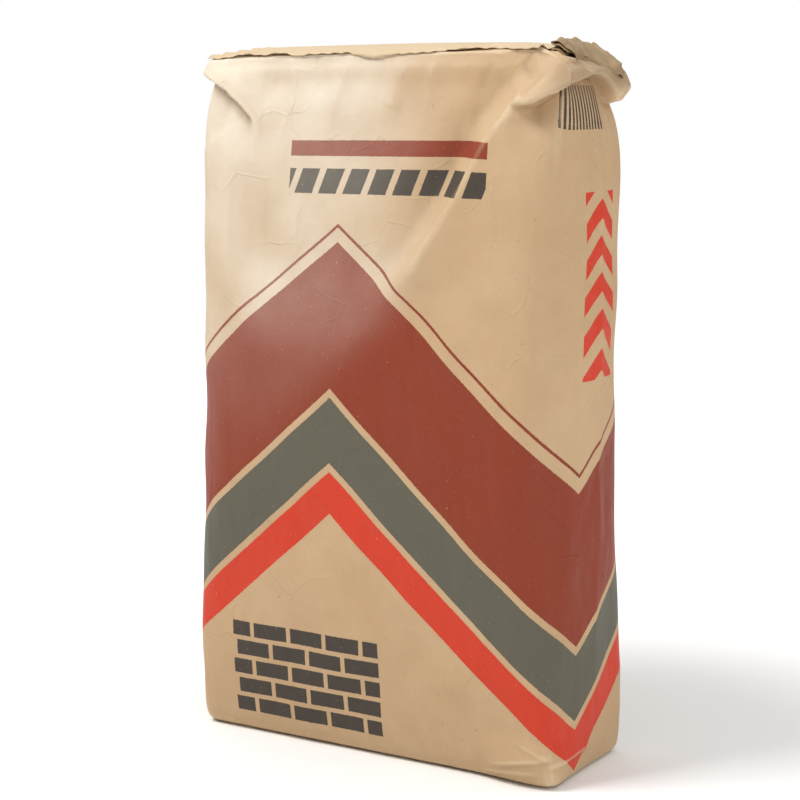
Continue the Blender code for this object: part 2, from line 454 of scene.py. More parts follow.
def outward(flat):
    """The level direction away from the powder at each wall point, turning at corners."""
    long_wall, narrow_wall = on_walls(flat)
    long_share = ramp(np.abs(flat[:, 0]), HALF_WIDTH - CORNER_ALONG, HALF_WIDTH)
    narrow_share = 2 - ramp(np.abs(flat[:, 1]), HALF_DEPTH - CORNER_ACROSS, HALF_DEPTH)
    turn = np.where(long_wall, long_share, narrow_share) * math.pi / 4
    wall = (long_wall | narrow_wall).astype(float)
    return np.stack([
        np.sign(flat[:, 0]) * np.sin(turn) * wall,
        np.sign(flat[:, 1]) * np.cos(turn) * wall,
        np.zeros(len(flat)),
    ], 1)


flat = read_values(sack.data.attributes["flat"].data, "vector")
print("paper points:", len(flat), "from", flat.min(0), "to", flat.max(0))

# %% Shape the ridge and the apron
# In these folds a pair of values is where a ramp starts and where it is full.
APRON_DEPTH, APRON_RIM_LOSS, APRON_REACH = 0.007, 0.65, 0.03
APRON_LEFT, APRON_LOW, APRON_RIM = (-0.150, -0.105), (0.36, 0.46), (0.600, 0.628)
CREST_HEIGHT, CREST_SHARP, CREST_SOFT = 0.0078, 0.009, 0.036
VALLEY_DEPTH, VALLEY_PLACE, VALLEY_WIDTH = 0.0035, 0.026, 0.014
RIDGE_END, RIDGE_LOW, RIDGE_RIGHT = (1, 0.65), (0.40, 0.45), (0.187, 0.147)


def ridge(s, z):
    """A crest along the ridge's line, a valley beside it, and the apron leaning back."""
    past, place = to_line(s, z, RIDGE_LINE)
    left = -past
    lean = ramp(z, *APRON_LOW) * ramp(left, 0, APRON_REACH) * ramp(s, *APRON_LEFT)
    apron = APRON_DEPTH * lean * (1 - APRON_RIM_LOSS * ramp(z, *APRON_RIM))
    crest = CREST_HEIGHT * np.where(left > 0, hump(left, CREST_SHARP), np.exp(left / CREST_SOFT))
    valley = VALLEY_DEPTH * hump(left - VALLEY_PLACE, VALLEY_WIDTH)
    zone = ramp(place, *RIDGE_END) * ramp(z, *RIDGE_LOW) * ramp(s, *RIDGE_RIGHT)
    return zone * (crest - valley) - apron


print("ridge: crest", CREST_HEIGHT * 1000, "mm out, valley", VALLEY_DEPTH * 1000, "mm in")

# %% Shape the lip and the ear
LIP_OUT, LIP_TUCK, LIP_DROP = 0.0045, 0.012, 0.003
LIP_EDGE, LIP_SOFT_EDGE, LIP_ROLL, LIP_HOLLOW = 0.003, 0.016, 0.013, 0.035
LIP_SOFTENS, LIP_SOFT_LOSS, LIP_END, LIP_SIDE = (0.30, 0.62), 0.75, (1, 0.70), (-0.27, -0.23)
EAR_OUT, EAR_TUCK, EAR_DROP = 0.009, 0.012, 0.003
EAR_EDGE, EAR_TAPER, EAR_ROLL, EAR_HOLLOW = 0.004, 0.016, 0.012, 0.022
EAR_START, EAR_END, EAR_WIDENS = (0.138, 0.162), (0.380, 0.345), (0.268, 0.300)


def lip(s, z):
    """How far the left corner's fold moves the paper out, and down."""
    off, place = to_line(s, z, LIP_LINE)
    soft = ramp(place, *LIP_SOFTENS)
    strength = (1 - LIP_SOFT_LOSS * soft) * ramp(place, *LIP_END) * ramp(s, *LIP_SIDE)
    above = off / (LIP_EDGE + LIP_SOFT_EDGE * soft)
    roll = ease(0.5 + above) * hump(np.maximum(off, 0), LIP_ROLL)
    hollow = ease(0.5 - above) * np.exp(np.minimum(off, 0) / LIP_HOLLOW)
    push = strength * (LIP_OUT * roll - LIP_TUCK * hollow)
    return push, strength * LIP_DROP * roll * (1 - soft)


def ear(s, z):
    """The same for the right corner's fold, whose roll tapers off round the side."""
    off, _ = to_line(s, z, EAR_LINE)
    strength = ramp(s, *EAR_START) * ramp(s, *EAR_END)
    width = EAR_EDGE + EAR_TAPER * ramp(s, *EAR_WIDENS)
    above = (off - width / 2 + EAR_EDGE / 2) / width
    roll = ease(0.5 + above) * hump(np.maximum(off - width, 0), EAR_ROLL)
    hollow = ease(0.5 - off / EAR_EDGE) * np.exp(np.minimum(off, 0) / EAR_HOLLOW)
    return strength * (EAR_OUT * roll - EAR_TUCK * hollow), strength * EAR_DROP * roll


print("lip and ear: out by", LIP_OUT * 1000, "and", EAR_OUT * 1000, "mm")

# %% Fold the top
BULGES = (
    # round the tube, height, half its width and half its height, how far out
    (0.168, 0.609, 0.014, 0.014, 0.0040),
    (0.070, 0.622, 0.048, 0.040, 0.0065),
    (0.150, 0.560, 0.045, 0.040, 0.0040),
)


def bulge(s, z, place, height, half_width, half_height, out):
    return out * hump(s - place, half_width) * hump(z - height, half_height)


def fold_top(points, flat):
    s, z = girth_place(flat), points[:, 2]
    long_wall, narrow_wall = on_walls(flat)
    front = long_wall & (flat[:, 1] < 0)
    lip_push, lip_drop = lip(s, z)
    ear_push, ear_drop = ear(s, z)
    push = lip_push + ear_push + front * ridge(s, z)
    for shape in BULGES:
        push += front * bulge(s, z, *shape)
    moved = points + outward(flat) * push[:, None]
    moved[:, 2] -= (lip_drop + ear_drop) * (long_wall | narrow_wall)
    return moved


set_points(sack.data, fold_top(get_points(sack.data), flat))
folded = get_points(sack.data)
print("folded top:", np.round(folded.min(0), 3), "to", np.round(folded.max(0), 3))

# %% [markdown]
# ## Dents, creases and the crumpled end
#
# Powder presses unevenly, so the walls carry long soft dents. Handling adds small
# creases: a few are placed where the picture shows them, and many short ones are
# scattered by a seeded random generator, which gives the same creases every time. At
# the right end, where the valve is, folds fan out over the top from one corner. Round
# the foot the paper laps over itself in low steps, and so does the tube's long seam.

# %% Draw the creases
CREASES = (
    # from and to, each as its place round the tube and up, then the height; - folds it in
    ((0.150, 0.396), (0.262, 0.399), 0.0009),
    ((0.252, 0.080), (0.253, 0.585), 0.0022),
    ((0.050, 0.372), (0.085, 0.368), 0.0007),
    ((-0.052, 0.010), (-0.046, 0.034), -0.0008),
    ((0.110, 0.026), (0.150, 0.040), 0.0007),
    ((0.172, 0.033), (0.222, 0.052), -0.0009),
    ((-0.152, 0.615), (-0.121, 0.577), -0.0011),
    ((-0.095, 0.628), (-0.082, 0.575), 0.0013),
    ((-0.070, 0.628), (-0.062, 0.590), -0.0012),
    ((-0.030, 0.630), (-0.046, 0.570), 0.0013),
    ((0.004, 0.630), (0.000, 0.555), -0.0012),
    ((0.032, 0.628), (0.014, 0.582), 0.0012),
    ((0.060, 0.630), (0.048, 0.560), 0.0014),
    ((0.092, 0.560), (0.070, 0.500), -0.0010),
    ((-0.180, 0.222), (-0.060, 0.208), 0.0011),
    ((-0.172, 0.238), (-0.090, 0.228), -0.0010),
    ((-0.150, 0.520), (-0.142, 0.400), 0.0012),
    ((-0.128, 0.480), (-0.110, 0.380), -0.0010),
    ((0.020, 0.405), (-0.020, 0.360), 0.0012),
    ((0.118, 0.628), (0.100, 0.590), -0.0012),
    ((0.140, 0.622), (0.152, 0.606), -0.0018),
    ((0.150, 0.628), (0.163, 0.612), 0.0014),
    ((-0.146, 0.628), (-0.160, 0.612), -0.0016),
)
LEDGES = (
    # the same, but the paper steps up on the left of the line, looking along it
    ((0.118, 0.012), (0.196, 0.030), 0.0026),
    ((0.176, 0.020), (0.262, 0.024), 0.0030),
    ((0.112, 0.006), (0.178, 0.014), 0.0024),
    ((0.150, 0.040), (0.186, 0.026), 0.0014),
    ((0.560, 0.640), (0.560, 0.010), 0.0009),
)
print("drawn:", len(CREASES), "creases and", len(LEDGES), "laps")

# %% Shape a dent, a crease and a lap
DENT_WAVES, DENT_HEIGHT = 26, 0.0006
DENT_TURNS, DENT_SLOPE = (3, 15), (20, 75)
CREASE_WIDTH, CREASE_SHARPNESS = 0.0065, 1.4
LEDGE_STEP, LEDGE_REACH, LEDGE_ENDS = 0.0035, 0.012, 0.35
SCATTERED_CREASES = 110
SCATTER_ROUND, SCATTER_UP = (-0.31, 0.69), 0.62
SCATTER_REACH, SCATTER_HEIGHT = (0.008, 0.030), (0.0002, 0.0009)


def soft_dents(s, z):
    """Waves of random slope and place, each with whole turns so that it meets itself."""
    chance = np.random.default_rng(11)
    total = np.zeros(len(s))
    for _ in range(DENT_WAVES):
        turns = chance.integers(*DENT_TURNS)
        rise = chance.uniform(*DENT_SLOPE) * chance.choice((-1, 1))
        total += np.sin(2 * math.pi * turns * s / GIRTH + rise * z + chance.uniform(0, 6.3))
    return DENT_HEIGHT * total / math.sqrt(DENT_WAVES / 2)


def crease(s, z, start, end, height):
    """One straight crease: sharp across its line, and fading out at both ends."""
    off, place = to_line(s, z, (start, end))
    sharp = np.exp(-((np.abs(off) / CREASE_WIDTH) ** CREASE_SHARPNESS))
    return height * sharp * np.sqrt(np.clip(4 * place * (1 - place), 0, 1))


def ledge(s, z, start, end, height):
    """One side of the line laps over the other: it steps up there, then eases back down."""
    off, place = to_line(s, z, (start, end))
    lap = ease(0.5 + off / LEDGE_STEP) * np.exp(-np.maximum(off, 0) / LEDGE_REACH)
    return height * lap * ramp(place, 0, LEDGE_ENDS) * ramp(place, 1, 1 - LEDGE_ENDS)


def scattered_creases(s, z):
    chance = np.random.default_rng(5)
    total = np.zeros(len(s))
    for _ in range(SCATTERED_CREASES):
        middle = chance.uniform(*SCATTER_ROUND), SCATTER_UP * chance.beta(0.9, 0.6)
        turn = chance.normal(0, 0.7)
        reach = chance.uniform(*SCATTER_REACH)
        step = reach * math.cos(turn), reach * math.sin(turn)
        start = middle[0] - step[0], middle[1] - step[1]
        end = middle[0] + step[0], middle[1] + step[1]
        height = chance.uniform(*SCATTER_HEIGHT) * chance.choice((-1, 1))
        total += crease(s, z, start, end, height)
    return total


print("dents:", DENT_WAVES, "waves; scattered creases:", SCATTERED_CREASES)

# %% Dent and crease the paper
DENTS_LOW, DENTS_HIGH = (0, 0.05), (0.63, 0.60)
FOOT_BULGE = (0.170, 0.012, 0.040, 0.022, 0.006)
ROLL_OUT, ROLL_OUT_WIDTH = 0.0012, 0.004
ROLL_IN, ROLL_IN_PLACE, ROLL_IN_WIDTH = 0.0010, 0.008, 0.005


def rim_roll(flat):
    """The folded edge round the top stands out over the wall, unevenly."""
    s, down = girth_place(flat), TUBE_LENGTH - flat[:, 2]
    wave = 0.6 + 0.25 * np.sin(95 * s) + 0.15 * np.sin(210 * s + 1)  # never quite repeats
    out = ROLL_OUT * wave * hump(down, ROLL_OUT_WIDTH)
    return out - ROLL_IN * hump(down - ROLL_IN_PLACE, ROLL_IN_WIDTH)


def crease_walls(points, flat):
    s, z = girth_place(flat), points[:, 2]
    push = soft_dents(s, z) * ramp(z, *DENTS_LOW) * ramp(z, *DENTS_HIGH)
    push += scattered_creases(s, z) + rim_roll(flat) + bulge(s, z, *FOOT_BULGE)
    for start, end, height in CREASES:
        push += crease(s, z, start, end, height)
    for start, end, height in LEDGES:
        push += ledge(s, z, start, end, height)
    return points + outward(flat) * push[:, None]


set_points(sack.data, crease_walls(get_points(sack.data), flat))
creased = np.linalg.norm(get_points(sack.data) - folded, axis=1)
print("creases moved the paper up to", round(creased.max() * 1000, 1), "mm")

# %% Crumple the valve end
FAN_CORNER = (0.172, -0.046)
FAN_TURNS = (18, 43, 66, 88, 112, 140, 163)
FAN_HEIGHT, FAN_WIDTH = 0.0035, 0.006
FAN_START, FAN_END = (0, 0.020), (0.100, 0.055)


def crumple_end(points, flat):
    """Folds fan out over the top end from the front corner by the valve."""
    top = flat[:, 2] > TUBE_LENGTH - ON_WALL
    x, y = points[:, 0] - FAN_CORNER[0], points[:, 1] - FAN_CORNER[1]
    reach = np.hypot(x, y)
    bearing = np.arctan2(y, x)
    lift = np.zeros(len(points))
    for index, turn in enumerate(FAN_TURNS):
        off = reach * np.abs(np.sin((bearing - math.radians(turn)) / 2)) * 2
        side = 1 if index % 2 == 0 else -0.7  # folds up and folds down take turns
        lift += side * FAN_HEIGHT * np.exp(-off / FAN_WIDTH)
    lift *= ramp(reach, *FAN_START) * ramp(reach, *FAN_END) * top
    moved = points.copy()
    moved[:, 2] += lift
    return moved


set_points(sack.data, crumple_end(get_points(sack.data), flat))
standing = get_points(sack.data)
standing[:, 2] = np.maximum(standing[:, 2], sack_low.z)
set_points(sack.data, standing)
print("valve end:", len(FAN_TURNS), "folds")

# %% [markdown]
# ## Where the print goes, where paper wears, and where shade and sheen are painted
#
# The print was put on the flat sheet, so the picture is laid out by the flat paper's
# own measures. A UV map holds them: across is the distance round the tube and up is the
# height on the paper, both shrunk by one factor so that they fit the unit square.
#
# Wear is different. Ink rubs off where the paper sticks out, and where it folds in the
# colour is darkened as painted shade: comparing each point with the middle of its
# neighbours tells which it is. A pale veil, cement dust with painted sheen, lies where the
# paper leans back or faces the light on the left, so it is read off the normals, and the
# corner by the valve is darkened, partly as grime from hands and partly as painted shade
# under the ear. Each of the three is kept as an attribute, one number for each point, and
# the material reads it by its name. Another way is to paint such masks by hand, but then
# they would not follow the folds when those are changed.

# %% Lay out the flat sheet
SHEET_SPAN = 1.1  # metres of paper that the unit square stands for
SHEET_LEFT = 0.33  # paper kept left of the front's middle
END_ROW, END_STEP = 0.68, 0.42  # the two ends lie side by side above the walls


def sheet_place(corner, middle):
    """Across and up on the flat sheet, in metres, for one corner of a face."""
    x, y, z = corner
    if middle[2] > TUBE_LENGTH - ON_FACE:
        return x, END_ROW + y + HALF_DEPTH
    if middle[2] < ON_FACE:
        return x + END_STEP, END_ROW + y + HALF_DEPTH
    if middle[1] < ON_FACE - HALF_DEPTH:
        return x, z
    if middle[1] > HALF_DEPTH - ON_FACE:
        return TUBE_WIDTH + TUBE_DEPTH - x, z
    side = HALF_WIDTH + y + HALF_DEPTH
    return (side, z) if x > 0 else (-side, z)


def lay_out_sheet(mesh, flat):
    layer = mesh.uv_layers.new(name="sheet")
    for face in mesh.polygons:
        middle = flat[list(face.vertices)].mean(0)
        for loop_index, vertex in zip(face.loop_indices, face.vertices):
            across, up = sheet_place(flat[vertex], middle)
            layer.data[loop_index].uv = ((across + SHEET_LEFT) / SHEET_SPAN, up / SHEET_SPAN)


lay_out_sheet(sack.data, flat)
print("flat sheet:", [layer.name for layer in sack.data.uv_layers], SHEET_SPAN, "m across")

# %% Measure the folds
FOLD_SPREAD = 5
SHARPEST_BEND = 40  # a fold with a radius of about 6 mm


def get_normals(mesh):
    return read_values(mesh.vertex_normals, "vector")


def get_edges(mesh):
    return read_values(mesh.edges, "vertices", 2, int)


def sum_over_edges(edges, values):
    """For each point, the sum of the values at the other ends of its edges."""
    total = np.zeros_like(values)
    np.add.at(total, edges[:, 0], values[edges[:, 1]])
    np.add.at(total, edges[:, 1], values[edges[:, 0]])
    return total


def blur(edges, values, rounds):
    count = sum_over_edges(edges, np.ones(len(values)))
    for _ in range(rounds):
        values = (values + sum_over_edges(edges, values) / count) / 2
    return values


def fold_sharpness(mesh):
    """+ where the paper sticks out and - where it folds in, about -1 to 1."""
    points, edges = get_points(mesh), get_edges(mesh)
    count = sum_over_edges(edges, np.ones(len(points)))
    away = points - sum_over_edges(edges, points) / count[:, None]
    lengths = np.linalg.norm(points[edges[:, 0]] - points[edges[:, 1]], axis=1)
    spacing = np.zeros(len(points))
    np.add.at(spacing, edges[:, 0], lengths)
    np.add.at(spacing, edges[:, 1], lengths)
    bend = (away * get_normals(mesh)).sum(1) * (count / spacing) ** 2
    return np.clip(blur(edges, bend, FOLD_SPREAD) / SHARPEST_BEND, -1, 1)


def keep_values(mesh, name, values):
    layer = mesh.attributes.new(name, "FLOAT", "POINT")
    layer.data.foreach_set("value", values.astype(np.float32))


sharpness = fold_sharpness(sack.data)
keep_values(sack.data, "fold", sharpness)
print("sharpest folds:", np.round(np.percentile(sharpness, (1, 50, 99)), 2))

# %% Find where dust and painted sheen lie, and where the valve corner is shaded and soiled
# Dust and painted sheen share one mask: paler where the paper leans back or faces the light high on
# the left, and less where it turns away from that light.
DUST_SHEEN_LEAN, DUST_SHEEN_LEFT = (-0.14, 0.24), 0.08  # facing left counts a little as leaning back
DUST_SHEEN_LOW, DUST_SHEEN_SPREAD = (0.18, 0.44), 50
DUST_SHEEN_THINS, DUST_SHEEN_RIGHT = (-0.05, 0.10), 0.06  # where it thins, and the share that is left
DUST_SHEEN_PAST_RIDGE = 0.025
# The valve corner is darkened: grime, and painted shade that the ear's overhang would throw.
SHADED_SOILED_PAST, SHADED_SOILED_ABOVE, SHADED_SOILED_SPREAD = (0.170, 0.186), (0.590, 0.606), 8


def dust_and_sheen_mask(mesh, flat):
    """0 to 1: a pale veil where the paper leans back or faces left, above the foot. It is
    partly settled cement powder and partly painted sheen from the light high on the left.

    It thins towards the right and on the front past the ridge, where the paper turns away
    from that light.
    """
    x, _, z = get_points(mesh).T
    leaning = get_normals(mesh) @ (-DUST_SHEEN_LEFT, 0, 1)
    veiled = ramp(z, *DUST_SHEEN_LOW) * ramp(leaning, *DUST_SHEEN_LEAN)
    past, _ = to_line(girth_place(flat), z, RIDGE_LINE)
    past_ridge = ramp(past, 0, DUST_SHEEN_PAST_RIDGE) * (flat[:, 1] < ON_FACE - HALF_DEPTH)
    veiled *= 1 - (1 - DUST_SHEEN_RIGHT) * np.maximum(ramp(x, *DUST_SHEEN_THINS), past_ridge)
    return blur(get_edges(mesh), veiled, DUST_SHEEN_SPREAD)


def soiled_and_shaded_corner(mesh):
    """0 to 1: the corner by the valve is darkened, partly as grime from hands and the filling
    spout, partly as painted shade under the ear.
    """
    x, _, z = get_points(mesh).T
    soiled_and_shaded = ramp(x, *SHADED_SOILED_PAST) * ramp(z, *SHADED_SOILED_ABOVE)
    return blur(get_edges(mesh), soiled_and_shaded, SHADED_SOILED_SPREAD)


# The first mask is cement dust with painted sheen from the light on the left; the second is grime
# with painted shade under the ear.
dust_and_sheen, soiled_and_shaded = dust_and_sheen_mask(sack.data, flat), soiled_and_shaded_corner(sack.data)
keep_values(sack.data, "dust_and_sheen", dust_and_sheen)
keep_values(sack.data, "soiled_and_shaded", soiled_and_shaded)
print("most dust:", round(dust_and_sheen.max(), 2), "most soiled:", round(soiled_and_shaded.max(), 2))

# %% [markdown]
# ## The powder inside
#
# Nobody sees the cement, but the sack is not hollow. The powder takes the sack's own
# shape, so it starts as a copy. Decimate thins its faces, and Displace draws it in along
# its normals, because a scaled copy would still touch the paper at its dents.

# %% Fill the sack
FILL_INSET = 0.0015
FACES_KEPT = 0.12


def add_filling(skin):
    filling = skin.copy()
    filling.data = skin.data.copy()
    filling.name = "cement_filling"
    bpy.context.scene.collection.objects.link(filling)
    thinner = filling.modifiers.new("fewer faces", "DECIMATE")
    thinner.ratio = FACES_KEPT
    shrink = filling.modifiers.new("inside the paper", "DISPLACE")
    shrink.strength = -FILL_INSET
    shrink.mid_level = 0
    apply_modifiers(filling)
    return filling


filling = add_filling(sack)
print("powder:", len(filling.data.polygons), "faces")

# %% [markdown]
# ## The cover sheets
#
# A sheet is glued over each folded end. Each starts as a grid, and Solidify gives it its
# thickness. The top one is laid on the paper below with rays cast straight down, as the
# Shrinkwrap modifier would do. It is glued only as far as the rim: past that it is free,
# waves a little, and throws the thin dark line that is seen under the rim. Its height
# there is drawn, and a level ray at the wall finds how far out it has to stand.

# %% Measure the ground for the cover sheets
TOP_FROM = 0.59  # a ray that hits lower than this has missed the top
RIM_LOOK_FROM, RIM_FALL = 0.030, 0.0035  # the level ray stays this far under the rim
EDGE_REACH, EDGE_WAVE, EDGE_WAVE_LENGTH = 0.0014, 0.0004, 0.0021
# The free edge at the front and at the back: places across, and its height there.
FRONT_EDGE = (
    (-0.1851, 0.6211), (-0.1682, 0.6221), (-0.1570, 0.6240), (-0.1426, 0.6268), (-0.1338, 0.6259),
    (-0.1239, 0.6251), (-0.1097, 0.6278), (-0.0989, 0.6270), (-0.0871, 0.6245), (-0.0774, 0.6263),
    (-0.0331, 0.6283), (-0.0186, 0.6249), (-0.0062, 0.6233), (0.0132, 0.6268), (0.0614, 0.6297),
    (0.0879, 0.6330), (0.1322, 0.6325), (0.1727, 0.6295),
)
BACK_EDGE = (
    (-0.184, 0.6280), (-0.150, 0.6305), (-0.110, 0.6300), (-0.070, 0.6340), (-0.030, 0.6325),
    (0.020, 0.6350), (0.060, 0.6330), (0.100, 0.6360), (0.156, 0.6335),
)
top_tree = BVHTree.FromPolygons(
    [v.co for v in sack.data.vertices], [list(f.vertices) for f in sack.data.polygons]
)


def top_height(x, y):
    """The height of the sack's top end under a point, or None past its edge."""
    hit = top_tree.ray_cast(Vector((x, y, 1)), Vector((0, 0, -1)))[0]
    return hit.z if hit and hit.z > TOP_FROM else None


def sheet_edge(x, side):
    """Where the free edge lies at the front (side -1) or the back (+1): across, and up."""
    height = float(np.interp(x, *zip(*(FRONT_EDGE if side < 0 else BACK_EDGE))))
    level = top_height(x, side * RIM_LOOK_FROM) or sack_high.z
    start = Vector((x, side, min(height, level - RIM_FALL)))
    wall = top_tree.ray_cast(start, Vector((0, -side, 0)))[0]
    wave = EDGE_WAVE * math.sin(x / EDGE_WAVE_LENGTH + side)
    return wall.y + side * EDGE_REACH, height + wave


print("in the middle the top stands at", round(top_height(0, 0), 4), "m")
print("and the sheet's front edge at", [round(v, 4) for v in sheet_edge(0, -1)])

# %% Lay out the top sheet
TOP_SHEET_LOW, TOP_SHEET_HIGH = (-0.184, -0.048, 0.63), (0.156, 0.048, 0.63)
TOP_SHEET_CELLS = (220, 60)


def add_sheet(name, low, high, cells):
    middle = ((low[0] + high[0]) / 2, (low[1] + high[1]) / 2, low[2])
    bpy.ops.mesh.primitive_grid_add(
        x_subdivisions=cells[0], y_subdivisions=cells[1], size=1, location=middle
    )
    sheet = bpy.context.object
    sheet.name = name
    sheet.scale = (high[0] - low[0], high[1] - low[1], 1)
    bpy.ops.object.transform_apply(location=True, rotation=False, scale=True)
    return sheet


top_sheet = add_sheet("top_cover_sheet", TOP_SHEET_LOW, TOP_SHEET_HIGH, TOP_SHEET_CELLS)
print("top sheet:", len(top_sheet.data.vertices), "points")

# %% Glue on the top sheet
SHEET_THICKNESS = 0.0005
GLUE = 0.0003
EDGE_HELD = 0.007  # how wide the free strip is
LEFT_GROUND_END = -0.182  # past it the sack curves away under the sheet
END_LIFT, LIFTED_RIGHT, LIFTED_LEFT = 0.0022, (0.136, 0.156), (-0.174, -0.184)


def thicken(piece, thickness, offset):
    wall = piece.modifiers.new("thickness", "SOLIDIFY")
    wall.thickness = thickness
    wall.offset = offset
    apply_modifiers(piece)


def lay_on_top(sheet):
    """Glued on as far as the rim; past it the free edge waves and throws a thin shadow."""
    edges = {}
    for vertex in sheet.data.vertices:
        x, side = vertex.co.x, -1 if vertex.co.y < 0 else 1
        if (x, side) not in edges:
            edges[x, side] = sheet_edge(x, side)
        edge_y, edge_z = edges[x, side]
        y = edge_y * abs(vertex.co.y / TOP_SHEET_HIGH[1])
        # free goes from 0 where the glue ends to 1 at the edge, and bends the strip
        held = side * min(abs(y), abs(edge_y) - EDGE_HELD)
        free = (abs(y) - abs(held)) / EDGE_HELD
        ground_x = max(x, LEFT_GROUND_END)
        ground = top_height(ground_x, held) or sack_high.z
        height = max(ground + (edge_z - ground) * free**2, top_height(ground_x, y) or 0)
        lift = ramp(x, *LIFTED_RIGHT) * (0.6 + 0.4 * math.sin(y / 0.010))
        lift += ramp(x, *LIFTED_LEFT) * (0.5 + 0.5 * math.sin(y / 0.0035 + 1))
        vertex.co = (x, y, height + GLUE + END_LIFT * lift)


lay_on_top(top_sheet)
thicken(top_sheet, SHEET_THICKNESS, 1)
print("top sheet:", [round(v, 4) for v in top_sheet.dimensions])

# %% Glue on the bottom sheet
BOTTOM_TRIM = Vector((0.006, 0.006, 0))
BOTTOM_SHEET_CELLS = (36, 12)


def add_bottom_sheet():
    low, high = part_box("bottom_cover_patch")
    low, high = low + BOTTOM_TRIM, high - BOTTOM_TRIM
    sheet = add_sheet("bottom_cover_sheet", low, high, BOTTOM_SHEET_CELLS)
    thicken(sheet, high.z - low.z, 1)
    return sheet


bottom_sheet = add_bottom_sheet()
print("bottom sheet:", [round(v, 4) for v in bottom_sheet.dimensions])

# %% [markdown]
# ## The valve sleeve
#
# The sack is filled through a short paper tube in its top corner. Once the spout is
# pulled out, the tube is crushed shut and folded to and fro over the slope of the
# corner. It starts as an open cylinder, is pressed flat, and is bent along a route of
# places across the corner, each with its lift above the paper below. Triangle waves
# running at odd angles crush it: they give flat facets with sharp creases between.

# %% Work out how the sleeve is folded and crushed
SLEEVE_ROUTE = (
    # place across the sack, lift above its paper
    (0.180, -0.001), (0.171, 0.0010), (0.162, 0.0012), (0.158, 0.0020), (0.164, 0.0030),
    (0.175, 0.0032), (0.184, 0.0024), (0.186, 0.0036), (0.177, 0.0052), (0.166, 0.0054),
    (0.162, 0.0064), (0.168, 0.0074), (0.179, 0.0070), (0.188, 0.0040), (0.193, -0.001),
    (0.195, -0.007),
)
CRUSHES = (
    # turn, length of one wave, height, shift
    (0.35, 0.040, 0.0022, 0.15),
    (-0.60, 0.023, 0.0019, 0.40),
    (1.25, 0.014, 0.0015, 0.70),
    (-1.35, 0.009, 0.0005, 0.25),
)


def smooth_route(points, share):
    """A point on a smooth curve through the route's points."""
    place = share * (len(points) - 1)
    index = min(int(place), len(points) - 2)
    t = place - index
    near = [points[min(max(index + step, 0), len(points) - 1)] for step in (-1, 0, 1, 2)]
    found = []
    for a, b, c, d in zip(*near):
        bend = (2 * a - 5 * b + 4 * c - d) * t**2 + (3 * b - a - 3 * c + d) * t**3
        found.append(0.5 * (2 * b + (c - a) * t + bend))
    return found


def crush(along, across):
    """How far the crushed paper is moved off its route, both distances in metres."""
    total = 0
    for turn, length, height, shift in CRUSHES:
        place = (along * math.cos(turn) + across * math.sin(turn)) / length + shift
        total += height * (2 * abs(2 * (place % 1) - 1) - 1)
    return total


route_length = sum(math.dist(a, b) for a, b in zip(SLEEVE_ROUTE, SLEEVE_ROUTE[1:]))
print("sleeve route:", round(route_length * 1000), "mm, crushed by", len(CRUSHES), "waves")

# %% Crush the valve sleeve
SLEEVE_CELLS = (128, 160)
SLEEVE_HALF, SLEEVE_MIDDLE = 0.041, 0.006
SLEEVE_PLY, SLEEVE_WALL = 0.0009, 0.0006
SLEEVE_LEFT, SLEEVE_RIGHT = 0.158, 0.195
HEM_KEPT, HEM_SLANT = 0.014, (0.030, 0.002)  # the folds reach less far near the front
HEM_WAVES = ((0.0022, 0.0075, 6), (0.0012, 0.0031, -9))  # reach, length, drift along it
SLOPE_END, GROUND_HALF = 0.186, 0.042
TAIL_FROM, TAIL_SINK = 0.85, 0.02  # the last part of the tube may hang below the corner


def add_valve_sleeve():
    bpy.ops.mesh.primitive_cylinder_add(
        vertices=SLEEVE_CELLS[0], radius=1, depth=2, end_fill_type="NOTHING", location=(0, 0, 0)
    )
    sleeve = bpy.context.object
    sleeve.name = "valve_sleeve_paper"
    cut_chosen(sleeve, "EDGE", lambda edge: runs_along(edge, 2), SLEEVE_CELLS[1] - 1)
    for vertex in sleeve.data.vertices:
        across, through, along = vertex.co.x, vertex.co.y, (vertex.co.z + 1) / 2
        x, lift = smooth_route(SLEEVE_ROUTE, along)
        y = SLEEVE_MIDDLE + SLEEVE_HALF * across * (0.92 + 0.08 * math.sin(11 * along + 1))
        x += sum(reach * math.sin(y / length + drift * along) for reach, length, drift in HEM_WAVES)
        kept = HEM_KEPT * ramp(y, *HEM_SLANT) / (SLEEVE_RIGHT - SLEEVE_LEFT)
        x = SLEEVE_LEFT + (x - SLEEVE_LEFT) * (1 - kept)
        wrinkle = 0.5 * crush(x, y) + 0.5 * crush(along * route_length, y)
        lift += SLEEVE_PLY * through + wrinkle * (0.30 + 0.60 * along)
        ground = top_height(min(x, SLOPE_END), max(-GROUND_HALF, min(GROUND_HALF, y)))
        ground = ground or sack_high.z - TAIL_SINK
        lowest = GLUE if along < TAIL_FROM else -TAIL_SINK
        vertex.co = (x, y, ground + max(lift, lowest))
    thicken(sleeve, SLEEVE_WALL, 0)
    return sleeve


sleeve = add_valve_sleeve()
print("valve sleeve:", [round(v, 3) for v in sleeve.dimensions])

# %% [markdown]
# ## Colours and nodes
#
# Colours are picked as sRGB hex codes, which is how a picture gives them, and one
# function turns them into the linear values that light is reckoned in. One more function
# adds a node with its settings and links, so that a material reads from top to bottom.

# %% Colour and node helpers
def colour(hex_code):
    """An sRGB colour written as #rrggbb, as the linear values that shaders use."""
    parts = [int(hex_code[i:i + 2], 16) / 255 for i in (1, 3, 5)]
    return [p / 12.92 if p <= 0.04045 else ((p + 0.055) / 1.055) ** 2.4 for p in parts] + [1]


